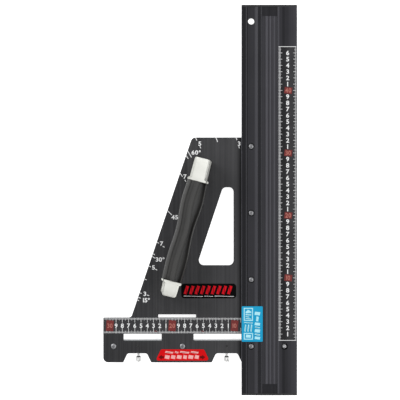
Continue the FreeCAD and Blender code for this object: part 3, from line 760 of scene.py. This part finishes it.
def glyph(letter):
    """A digit as a mesh one unit high, with its lower left corner at the origin."""
    if letter not in glyph_cache:
        curve = bpy.data.curves.new("glyph", "FONT")
        curve.body = letter
        curve.offset = 0.026
        curve.extrude = 0.5
        curve.resolution_u = 4
        text = add_object("glyph", curve)
        mesh = mesh_now(text)
        bpy.data.objects.remove(text)
        low = Vector(map(min, zip(*(v.co for v in mesh.vertices))))
        high = Vector(map(max, zip(*(v.co for v in mesh.vertices))))
        mesh.transform(Matrix.Translation(-low))
        tall = high.y - low.y
        mesh.transform(Matrix.Diagonal((1 / tall, 1 / tall, 1.0, 1.0)))
        glyph_cache[letter] = (mesh, (high.x - low.x) / tall)
    return glyph_cache[letter]


def add_number(made, text, x, y, height, low, high, stretch=1.0, gap=0.16):
    """Adds upright digits centred at (x, y). A degree sign is small and sits at the top."""
    sizes = [(letter, height * (0.42 if letter == "°" else 1.0)) for letter in text]
    widths = [glyph(letter)[1] * size * stretch for letter, size in sizes]
    at = x - (sum(widths) + gap * height * (len(text) - 1)) / 2
    for (letter, size), width in zip(sizes, widths):
        copy = glyph(letter)[0].copy()
        copy.transform(Matrix.Diagonal((size * stretch, size, high - low, 1.0)))
        copy.transform(Matrix.Translation((at, y + height / 2 - size, low)))
        made.from_mesh(copy)
        bpy.data.meshes.remove(copy)
        at += width + gap * height


print("digit 8 is", round(glyph("8")[1], 2), "of its height wide")

# %% [markdown]
# ## The scale on the rail
#
# Beside the cutting edge the rail carries a scale that counts from the fence's face to 46 cm. Each
# centimetre has its last digit, and the tens stand in red boxes, all on a darker printed ground. One ink is
# one pass of printing and so one piece. Fine marks are thinner, so where two marks cross, one lies inside
# the other.

# %% Rail scale
def print_scale(name, fine_marks, bold_marks, boxes, tens):
    for kind, made, ink_name in (("fine_marks", fine_marks, "grey"), ("bold_marks", bold_marks, "white"),
                                 ("ten_boxes", boxes, "red"), ("tens", tens, "pink")):
        piece(f"{name}_scale_{kind}", made, inks[ink_name])


ruler_left, ruler_right = -30.2, -0.9
scale_length = 470.0
last_centimetre = 46
fine_width, five_width, ten_width = 0.42, 0.5, 0.6
fine_share, five_share = 0.7, 0.85
right_end = -1.2
ground_top = ruler_top + ink / 2
ground = bmesh.new()
add_box(ground, ruler_left, ruler_right, -1.0, scale_length + 1.0, ruler_top, ground_top, 0.4)
# The ground's tone across X is painted shade and a painted reflection, from the black ink.
piece("rail_scale_ground", ground, inks["black"])
low, high = ground_top, ground_top + ink

fine_marks, bold_marks, boxes, tens = (bmesh.new() for _ in range(4))
for span in ((ruler_left, -26.4), (-3.5, right_end)):
    add_marks(fine_marks, 1, 469, 1.0, 1.0, span, fine_width, low, fine_share, "grey")
for span in ((ruler_left, ruler_left + 4.6), (-4.8, right_end)):
    add_marks(bold_marks, 1, 93, 5.0, 5.0, span, five_width, low, five_share)
for span in ((ruler_left, ruler_left + 6.6), (-6.1, right_end)):
    add_marks(bold_marks, 1, last_centimetre, 10.0, 10.0, span, ten_width, low)
add_marks(bold_marks, 1, 2, 0.0, scale_length, (ruler_left, right_end), 0.9, low)
for number in range(1, last_centimetre + 1):
    y = 10.0 * number
    if number % 10:
        add_number(bold_marks, str(number % 10), -15.1, y, 7.3, low, high, 1.05)
    else:
        add_box(boxes, -21.0, -7.4, y - 5.8, y + 5.8, low, high, 0.6)
        add_number(tens, str(number), -14.2, y, 7.3, high, high + ink, 0.9, 0.10)
print_scale("rail", fine_marks, bold_marks, boxes, tens)

# %% [markdown]
# ## The scale on the plate
#
# The plate's scale counts outwards from the cutting edge. It has marks along both edges and numbers between
# them, and the tens stand in tall red boxes.

# %% Plate scale
scale_low, scale_high = 10.9, 35.5
number_y = 22.9
ground_top = plate_top + ink / 2
low, high = ground_top, ground_top + ink
box_low, box_high = high - ink / 4, high + ink / 2
ground = bmesh.new()
add_box(ground, plate_low.x + 0.6, rail_edge, scale_low - 0.2, scale_high + 0.2, plate_top, ground_top, 0.4)
piece("plate_scale_ground", ground, inks["black"])

fine_marks, bold_marks, boxes, tens = (bmesh.new() for _ in range(4))
for span in ((32.8, scale_high), (scale_low, 13.6)):
    add_marks(fine_marks, 0, 219, -309.0, 1.0, span, fine_width, low, fine_share, "grey")
for span in ((31.4, scale_high), (scale_low, 15.0)):
    add_marks(bold_marks, 0, 43, -305.0, 5.0, span, five_width, low, five_share)
for span in ((28.0, scale_high), (scale_low, 19.5)):
    add_marks(bold_marks, 0, 22, -300.0, 10.0, span, ten_width, low)
for centimetre in range(10, 31):
    x = -10.0 * centimetre
    if centimetre % 10:
        add_number(bold_marks, str(centimetre % 10), x, number_y, 7.2, low, high)
    else:
        add_box(boxes, x - 6.5, x + 6.5, 13.4, 32.3, box_low, box_high, 0.6)
        add_number(tens, str(centimetre), x, number_y, 7.2, box_high, box_high + ink, 0.9, 0.10)
for x in (-226.5, -151.0):
    add_box(boxes, x - 2.5, x + 2.5, 12.8, 15.2, box_low, box_high, 0.4)
print_scale("plate", fine_marks, bold_marks, boxes, tens)

# %% [markdown]
# ## Angle marks
#
# Along its slanted edge the plate has marks that point at the origin, because the tool is turned about that
# corner. Some stand for whole angles and carry a number in degrees. Others stand for a slope and have one
# digit in a gap in their line. Each mark is its angle, the length of its line, its text, and how far along
# and beside its ray the text sits.

# %% Angle marks
slant_foot = Vector((-265.9, 36.0))
slant_head = Vector((-168.1, 325.0))
mark_width = 1.15
digit_height = 7.0
angle_marks = [(14.04, 2.7, "", 0, 0), (15.0, 4.0, "15°", 14.3, -0.8), (16.7, 3.2, "3", 8.7, 0.9),
               (21.8, 3.7, "", 0, 0), (26.57, 3.8, "5", 8.1, 1.1), (30.0, 5.9, "30°", 14.0, 2.1),
               (30.96, 3.7, "", 0, 0), (35.0, 3.8, "7", 8.0, 2.3), (45.0, 9.8, "45", 16.0, 0.6),
               (55.0, 6.6, "7", 9.2, 3.4), (59.04, 6.3, "", 0, 0), (60.0, 11.8, "60°", 9.4, 10.4),
               (63.4, 5.0, "5", 12.1, 1.8), (68.2, 7.5, "", 0, 0), (73.3, 4.0, "3", 11.0, 1.8)]


def edge_point(angle):
    """Where a ray from the origin meets the plate's slanted edge, or else its top."""
    outward = Vector((-math.cos(angle), math.sin(angle)))
    run = slant_head - slant_foot
    across_run = outward.x * run.y - outward.y * run.x
    reach = (slant_foot.x * run.y - slant_foot.y * run.x) / across_run
    point = outward * reach
    if point.y > slant_head.y:
        point = outward * (slant_head.y / outward.y)
    return point, -outward


def add_stroke(made, start, direction, length, width):
    """A straight printed line."""
    side = Vector((-direction.y, direction.x)) * width / 2
    end = start + direction * length
    add_flat(made, [start - side, end - side, end + side, start + side], plate_top, plate_top + ink)


strokes = bmesh.new()
for degrees, length, text, along, aside in angle_marks:
    point, inward = edge_point(math.radians(degrees))
    add_stroke(strokes, point + inward * 0.4, inward, length, mark_width)
    sideways = Vector((-inward.y, inward.x))
    if text:
        centre = point + inward * along + sideways * aside
        add_number(strokes, text, centre.x, centre.y, digit_height, plate_top, plate_top + ink, 1.12, 0.10)
    if len(text) == 1:
        add_stroke(strokes, point + inward * (along + 3.9), inward, 3.4, mark_width)
piece("angle_marks", strokes, inks["white"])

# %% [markdown]
# ## Turned pieces
#
# The tree takes an outline as a line, with the radius as its X and the height as its Z. It lays the line
# straight along Z and sweeps a circle along it that grows and shrinks with the radius. Pulling in every
# second point of the circle gives a straight knurl.

# %% Tree: turned outline
tree, given, result = maker_tree("Turned outline", {"Sides": "Int", "Tooth depth": "Float"})
position = node(tree, "GeometryNodeInputPosition").outputs[0]
parts = node(tree, "ShaderNodeSeparateXYZ", {0: position}).outputs
path = node(tree, "GeometryNodeMeshToCurve", {"Mesh": given["Geometry"]})
sized = node(tree, "GeometryNodeSetCurveRadius", {"Curve": path.outputs[0], "Radius": parts["X"]})
straight = node(tree, "GeometryNodeSetPosition", {"Geometry": sized.outputs[0],
                                                  "Position": combine(tree, Z=parts["Z"])})
circle = node(tree, "GeometryNodeCurvePrimitiveCircle", {"Resolution": given["Sides"], "Radius": 1.0})
point_number = node(tree, "GeometryNodeInputIndex").outputs[0]
every_second = math_node(tree, "MODULO", point_number, 2.0)
pulled = math_node(tree, "MULTIPLY", every_second, given["Tooth depth"])
kept_share = math_node(tree, "SUBTRACT", 1.0, pulled)
drawn_in = node(tree, "ShaderNodeVectorMath", {0: position, "Scale": kept_share},
                operation="SCALE").outputs[0]
toothed = node(tree, "GeometryNodeSetPosition", {"Geometry": circle.outputs[0], "Position": drawn_in})
radius_field = node(tree, "GeometryNodeInputRadius").outputs[0]
swept = node(tree, "GeometryNodeCurveToMesh", {"Curve": straight.outputs[0],
                                               "Profile Curve": toothed.outputs[0], "Scale": radius_field,
                                               "Fill Caps": True})
close_tree(tree, swept.outputs[0], given, result)
turned_tree = tree


def turned(outline, material, sides=40, tooth_depth=0.0):
    """A solid of revolution about Z from (radius, height) points, in millimetres."""
    draft = bpy.data.meshes.new("outline")
    draft.from_pydata([(radius, 0.0, height) for radius, height in outline],
                      [(i, i + 1) for i in range(len(outline) - 1)], [])
    return run_tree(turned_tree, {"Sides": sides, "Tooth depth": tooth_depth, "Material": material}, draft)

# %% [markdown]
# ## Screws
#
# Low pan-head screws with a cross recess hold the plate, the rail and the fence. The head is turned, and a
# tapered cross is cut from it, because a painted recess looks flat from the side. A tree sets a head and a
# shank at each seat and turns each recess by its own amount, as tightened screws never line up.

# %% The screw head with its recess
head_height = 2.6
head_outline = [(2.4, 0.0), (4.25, 0.02), (4.5, 0.25), (4.5, 0.75), (4.38, 1.2), (4.0, 1.7), (3.35, 2.1),
                (2.5, 2.4), (1.5, 2.56), (0.6, head_height)]
recess_length, recess_width, recess_depth = 4.9, 1.25, 1.5


def tapered_bar(turn):
    """A bar that is narrower at its foot, to cut one slot of the recess."""
    x, y = recess_length / 2, recess_width / 2
    ends = ((head_height - recess_depth, 0.62), (head_height + 0.6, 1.1))
    bar = loft([[(-x * share, -y * share, z), (x * share, -y * share, z), (x * share, y * share, z),
                 (-x * share, y * share, z)] for z, share in ends])
    bmesh.ops.rotate(bar, verts=bar.verts, cent=(0, 0, 0), matrix=Matrix.Rotation(turn, 3, "Z"))
    return mesh_of(bar)


def cut(mesh, cutters):
    """A mesh with other meshes cut out of it, one after another."""
    block = add_object("block", mesh)
    tools = [add_object("cutter", cutter) for cutter in cutters]
    for tool in tools:
        modifier = block.modifiers.new("cut", "BOOLEAN")
        modifier.object = tool
        modifier.solver = "EXACT"
    finished = mesh_now(block)
    for thing in [block, *tools]:
        bpy.data.objects.remove(thing)
    return finished


screw_head = cut(turned(head_outline, steel_finish), [tapered_bar(0.0), tapered_bar(math.pi / 2)])
print("screw head:", len(screw_head.polygons), "faces")

# %% Tree: screws at their seats
tree, given, result = maker_tree("Screws at seats", {"Head": "Object", "Shank radius": "Float",
                                                     "Shank end": "Float", "Seed": "Int"})
head = node(tree, "GeometryNodeObjectInfo", {"Object": given["Head"]})
spin = node(tree, "FunctionNodeRandomValue", {2: 0.0, 3: math.tau, "Seed": given["Seed"]}, data_type="FLOAT")
heads = node(tree, "GeometryNodeInstanceOnPoints", {"Points": given["Geometry"],
                                                    "Instance": head.outputs["Geometry"],
                                                    "Rotation": combine(tree, Z=spin.outputs[1])})
place = node(tree, "GeometryNodeInputPosition").outputs[0]
seat_z = node(tree, "ShaderNodeSeparateXYZ", {0: place}).outputs["Z"]
shank_length = math_node(tree, "SUBTRACT", seat_z, given["Shank end"])
shank_size = combine(tree, X=given["Shank radius"], Y=given["Shank radius"], Z=shank_length)
unit_rod = node(tree, "GeometryNodeMeshCylinder", {"Vertices": 24, "Radius": 1.0, "Depth": 1.0})
hung_rod = node(tree, "GeometryNodeTransform", {"Geometry": unit_rod.outputs[0],
                                                "Translation": Vector((0, 0, -0.5))})
shanks = node(tree, "GeometryNodeInstanceOnPoints", {"Points": given["Geometry"],
                                                     "Instance": hung_rod.outputs[0], "Scale": shank_size})
both = tree.nodes.new("GeometryNodeJoinGeometry")
tree.links.new(heads.outputs[0], both.inputs[0])
tree.links.new(shanks.outputs[0], both.inputs[0])
close_tree(tree, both.outputs[0], given, result)
screws_tree = tree

# %% Place the screws
head_pattern = add_object("head_pattern", screw_head)


def screws(name, seats, shank_radius, seed, replaced, material=steel_finish):
    points = bpy.data.meshes.new("seats")
    points.from_pydata(seats, [], [])
    mesh = run_tree(screws_tree, {"Head": head_pattern, "Shank radius": shank_radius, "Seed": seed,
                                  "Shank end": box_of(replaced)[0].z, "Material": material}, points)
    piece(name, mesh, material, replaces=[replaced])


channel_x, pivot_x = -73.4, -183.5
screw_line = -10.0
channel_seat, plate_seat, edge_seat = 4.4, 3.0, 2.2
screws("rail_screws_pan", [(channel_x, y, channel_seat) for y in (96.8, 203.6, 310.4)], 2.5, 3,
       "plate_rail_screws")
screws("fence_screws_pan", [(-294.0, screw_line, plate_seat), (channel_x, screw_line, channel_seat)], 2.5, 8,
       "fence_clamp_screws")
# This screw takes the lighter copy of the steel, painted light against the shade in its hole.
screws("fence_edge_screw_pan", [(-20.0, screw_line, edge_seat)], 2.5, 2, "fence_clamp_screws",
       painted_lit_steel_finish)
screws("fence_pivot_pan", [(pivot_x, screw_line, plate_seat)], 3.0, 5, "fence_pivot_screw")
bpy.data.objects.remove(head_pattern)

# %% [markdown]
# ## Thumb screws of the fence
#
# Two long screws push against studs to trim the fence's angle. Each has a smooth neck, a dark ring and a
# bright barrel with straight flutes. The parts are turned and joined, but the ring has another finish and
# is a piece of its own. A slot in the end takes a driver. The shapes stand along Z and are laid down along
# the fence's Y.

# %% Thumb screws
adjuster_z = -8.0
neck_outline = [(2.5, -14.95), (2.5, -20.3), (2.05, -20.7), (2.05, -26.0), (2.4, -26.4), (2.4, -26.9)]
ring_outline = [(3.1, -26.7), (3.3, -26.9), (3.3, -28.1), (3.1, -28.3)]
front_outline = [(3.7, -28.2), (4.05, -28.4), (4.05, -28.9), (3.75, -29.1)]
barrel_outline = [(3.7, -29.0), (4.25, -29.4), (4.25, -33.7), (3.75, -34.1)]
rim_outline = [(3.75, -34.0), (3.6, -34.3), (4.1, -34.6), (4.2, -34.9), (4.2, -35.5), (3.8, -36.0)]


def lay_down(mesh, x):
    """Turns a shape from Z to Y, and puts its axis under the plate at one x."""
    mesh.transform(Matrix(((1, 0, 0, x), (0, 0, 1, 0), (0, -1, 0, adjuster_z), (0, 0, 0, 1))))
    return mesh

def thumb_screw(side, x):
    slot_tool = bmesh.new()
    add_box(slot_tool, -5.0, 5.0, -0.5, 0.5, -36.5, -34.8)
    rim = cut(turned(rim_outline, nickel_finish), [mesh_of(slot_tool)])
    pieces = [turned(neck_outline, nickel_finish, 24), turned(front_outline, nickel_finish),
              turned(barrel_outline, nickel_finish, 20, 0.18), rim]
    joined = bmesh.new()
    add_meshes(joined, *(lay_down(mesh, x) for mesh in pieces))
    piece(side + "_thumb_screw_ring", lay_down(turned(ring_outline, black_steel_finish, 32), x),
          black_steel_finish, body=side + "_screw")
    piece(side + "_thumb_screw", joined, nickel_finish, body=side + "_screw",
          replaces=[side + "_adjusting_screw"], smooth=math.radians(25))


thumb_screw("left", -254.5)
thumb_screw("right", -112.5)

# %% [markdown]
# ## Hanging bush
#
# The hole at the rail's end is lined with a plastic bush. Its outline goes down the bore and back up the
# outside, so it is a lathe of its own, with the last section joined to the first.

# %% Hanging bush
def ring_of(outline, x, y, sides=48):
    """A closed ring from an outline of (radius, height) points that returns to its start."""
    made = bmesh.new()
    rows = []
    for k in range(sides):
        angle = math.tau * k / sides
        rows.append([made.verts.new((x + radius * math.cos(angle), y + radius * math.sin(angle), height))
                     for radius, height in outline])
    count = len(outline)
    for k in range(sides):
        near, far = rows[k], rows[(k + 1) % sides]
        for i in range(count):
            j = (i + 1) % count
            made.faces.new((near[i], near[j], far[j], far[i]))
    return made


bush_low, bush_high = box_of("hanging_bush")
bush_x, bush_y = (bush_low.x + bush_high.x) / 2, (bush_low.y + bush_high.y) / 2
lip = (bush_high.x - bush_low.x) / 2
base, top = bush_low.z, bush_high.z
bush = ring_of([(5.05, base), (5.0, base + 0.3), (5.0, top - 0.25), (5.15, top - 0.05), (5.35, top),
                (lip - 0.3, top), (lip - 0.05, top - 0.12), (lip, top - 0.4), (lip - 0.5, top - 0.5),
                (lip - 0.6, base + 0.2), (lip - 0.7, base)], bush_x, bush_y)
piece("hanging_bush_moulded", bush, cap_finish, replaces=["hanging_bush"],
      smooth=math.radians(50))

# %% [markdown]
# ## Non-slip strips
#
# Two soft strips under the rail keep it from sliding. Small ribs across them, each a low ridge with sloping
# sides, give the grip.

# %% The strips
rib_pitch = 3.0
rib_profile = [(-1.1, 0.45), (-0.55, 0.0), (0.55, 0.0), (1.1, 0.45)]
rib_inset = 0.15
strip_margin = 4.0


def non_slip_strip(side):
    low, high = box_of("grip_strip_" + side)
    half = (high.x - low.x) / 2 - rib_inset
    ridge = loft([[Vector((x, y, z)) for y, z in rib_profile] for x in (-half, half)])
    strip = bmesh.new()
    add_box(strip, low.x, high.x, low.y, high.y, low.z + 0.4, high.z, 1.0)
    count = int((high.y - low.y - strip_margin) / rib_pitch)
    add_meshes(strip, row_of(ridge, count, ((low.x + high.x) / 2, low.y + rib_pitch, low.z),
                             (0, rib_pitch, 0), rubber_finish))
    piece("non_slip_strip_" + side, strip, rubber_finish,
          replaces=["grip_strip_" + side])


non_slip_strip("left")
non_slip_strip("right")

# %% [markdown]
# ## Labels
#
# Three films are stuck on the tool. Their print is plain marks, which look busy from afar, as a label does,
# and name nothing.

# %% Badge
def add_print(made, x0, x1, y0, y1, low, radius=0.0):
    """Adds a printed block, one ink thick."""
    add_box(made, x0, x1, y0, y1, low, low + ink, radius)


badge_low, badge_high = box_of("badge")
bars, badge_line = bmesh.new(), bmesh.new()
slant = 3.2
bar_margin = 3.2
bar_low, bar_high = badge_low.y + 5.8, badge_high.y - 2.8
bar_count = 9
bar_share = 0.74        # of a bar's pitch, the rest is gap
bar_corner = 0.7
first_bar, last_bar = badge_low.x + bar_margin, badge_high.x - bar_margin
bar_pitch = (last_bar - first_bar - slant) / bar_count
for k in range(bar_count):
    x0 = first_bar + bar_pitch * k
    x1 = x0 + bar_pitch * bar_share
    corners = ((x0, bar_low), (x1, bar_low), (x1 + slant, bar_high), (x0 + slant, bar_high))
    outline = rounded_outline([(x, y, bar_corner) for x, y in corners], 3)
    add_flat(bars, outline, badge_high.z, badge_high.z + ink)
piece("badge_bars", bars, inks["crimson"])
line_y = badge_low.y + 3.2
line_half = 0.75
centre_x = (badge_low.x + badge_high.x) / 2
for x0, x1 in ((badge_low.x + 3.4, centre_x - 9.0), (centre_x - 7.4, centre_x + 7.4),
               (centre_x + 9.0, badge_high.x - 3.4)):
    add_print(badge_line, x0, x1, line_y - line_half, line_y + line_half, badge_high.z, 0.3)
piece("badge_line", badge_line, inks["white"])

# %% Blue depth label
film = box_of("depth_label")[1].z
drawing = bmesh.new()
frame_left, frame_right = -85.4, -70.6
frame_width = 1.6
inner_left = -82.8


def add_frame(y0, y1):
    """An open frame of four bars."""
    for low, high in ((y1 - frame_width, y1), (y0, y0 + frame_width)):
        add_print(drawing, frame_left, frame_right, low, high, film)
    for x0, x1 in ((frame_left, frame_left + frame_width), (frame_right - frame_width, frame_right)):
        add_print(drawing, x0, x1, y0 + frame_width, y1 - frame_width, film)


add_frame(31.2, 52.0)
roof = [(inner_left, 45.8), (-78.0, 49.6), (-73.2, 45.8), (-73.2, 43.4), (inner_left, 43.4)]
add_flat(drawing, rounded_outline([(x, y, 0.3) for x, y in roof], 2), film, film + ink)
for y0, y1, x1 in ((39.8, 42.6, -73.2), (36.8, 39.0, -76.4), (33.6, 36.0, -73.2)):
    add_print(drawing, inner_left, x1, y0, y1, film, 0.3)
add_print(drawing, frame_left, frame_right, 27.2, 29.4, film, 0.3)
for x in (-84.4, -79.6, -74.8):
    add_print(drawing, x, x + 3.0, 13.6, 25.8, film, 0.4)
add_frame(1.2, 12.0)
add_print(drawing, -82.4, -73.6, 4.0, 9.4, film, 0.4)
block_left, block_right, block_low, block_gap = -68.4, -58.8, 1.2, 1.1
for tall, inset in ((6.4, 0.0), (4.6, 0.0), (7.2, 0.0), (4.0, 0.0), (6.6, 0.0), (9.8, 2.4), (7.4, 0.0)):
    add_print(drawing, block_left + inset, block_right - inset, block_low, block_low + tall - block_gap,
              film, 0.5)
    block_low += tall
piece("depth_label_drawing", drawing, inks["pale_blue"])

# %% Red adjuster label
red_top = box_of("adjuster_label")[1].z
label_middle = pivot_x - 1.0
note_gap = 1.3
arrow_outline = [(37.6, -27.6), (32.4, -23.6), (32.4, -25.8), (28.8, -25.8), (28.8, -29.4), (32.4, -29.4),
                 (32.4, -31.6)]        # from the label's middle
arrows, notes = bmesh.new(), bmesh.new()
for side in (-1, 1):
    outline = [(label_middle + side * x, y) for x, y in arrow_outline]
    add_flat(arrows, outline if side < 0 else list(reversed(outline)), red_top, red_top + ink)
piece("adjuster_label_arrows", arrows, inks["maroon"])
for y0, y1, widths in ((-30.8, -23.8, (8.6, 8.0, 8.8, 7.0, 9.0, 7.6)),
                       (-21.8, -17.6, (14.0, 7.0, 16.0, 13.6))):
    x = label_middle - (sum(widths) + note_gap * (len(widths) - 1)) / 2
    for width in widths:
        add_print(notes, x, x + width, y0, y1, red_top, 0.6)
        x += width + note_gap
piece("adjuster_label_bars", notes, inks["blush"])

# %% [markdown]
# ## Floor and light
#
# The tool lies on a white sheet in soft studio light. The sky is an even, slightly cool white, and a broad
# light at the upper left gives rounded edges a bright left side. The floor gives off a little light of its
# own, which keeps it white under the plate. It is clear from below, so the underside can be looked at.

# %% Floor
floor_gap = 0.0004
floor_z = cad_box[0].z - floor_gap
floor_half = 4.0
floor_mesh = bpy.data.meshes.new("floor")
floor_mesh.from_pydata([(-floor_half, -floor_half, floor_z), (floor_half, -floor_half, floor_z),
                        (floor_half, floor_half, floor_z), (-floor_half, floor_half, floor_z)], [],
                       [(0, 1, 2, 3)])
floor = add_object("floor", floor_mesh)
floor_material = bpy.data.materials.new("floor")
floor_material.use_nodes = True
tree = floor_material.node_tree
sheet = tree.nodes["Principled BSDF"]
for label, value in {"Base Color": rgba(0.82), "Roughness": 0.9, "Specular IOR Level": 0.1,
                     "Emission Color": rgba(1.0), "Emission Strength": 0.85}.items():
    sheet.inputs[label].default_value = value
clear = node(tree, "ShaderNodeBsdfTransparent")
below = node(tree, "ShaderNodeNewGeometry").outputs["Backfacing"]
chosen = node(tree, "ShaderNodeMixShader", {0: below, 1: sheet.outputs[0], 2: clear.outputs[0]})
feed(tree.nodes["Material Output"].inputs["Surface"], chosen.outputs[0])
floor_mesh.materials.append(floor_material)

# %% Light
world = bpy.data.worlds.new("studio")
world.use_nodes = True
scene.world = world
sky = world.node_tree.nodes["Background"]
sky.inputs["Color"].default_value = (0.98, 0.99, 1.0, 1.0)
sky.inputs["Strength"].default_value = 0.62
scene.view_settings.view_transform = "Standard"


def soft_light(name, place, aim, size, power):
    lamp = bpy.data.lights.new(name, "AREA")
    lamp.shape = "DISK"
    lamp.size = size
    lamp.energy = power
    thing = add_object(name, lamp)
    thing.location = place
    thing.rotation_euler = (Vector(aim) - Vector(place)).to_track_quat("-Z", "Y").to_euler()


middle_of_tool = (-0.15, 0.22, 0.0)
soft_light("key", (-1.7, 1.3, 1.5), middle_of_tool, 1.3, 32.0)
soft_light("fill", (1.4, 0.0, 1.5), middle_of_tool, 2.0, 15.0)
print("floor at", round(floor_z / MM, 2), "mm")

# %% [markdown]
# ## Finish
#
# The CAD model's box is printed at the end. The visual model has to stay inside the CAD model's box.

# %% Print the CAD box
print("CAD box", [tuple(round(v / MM, 2) for v in corner) for corner in cad_box])
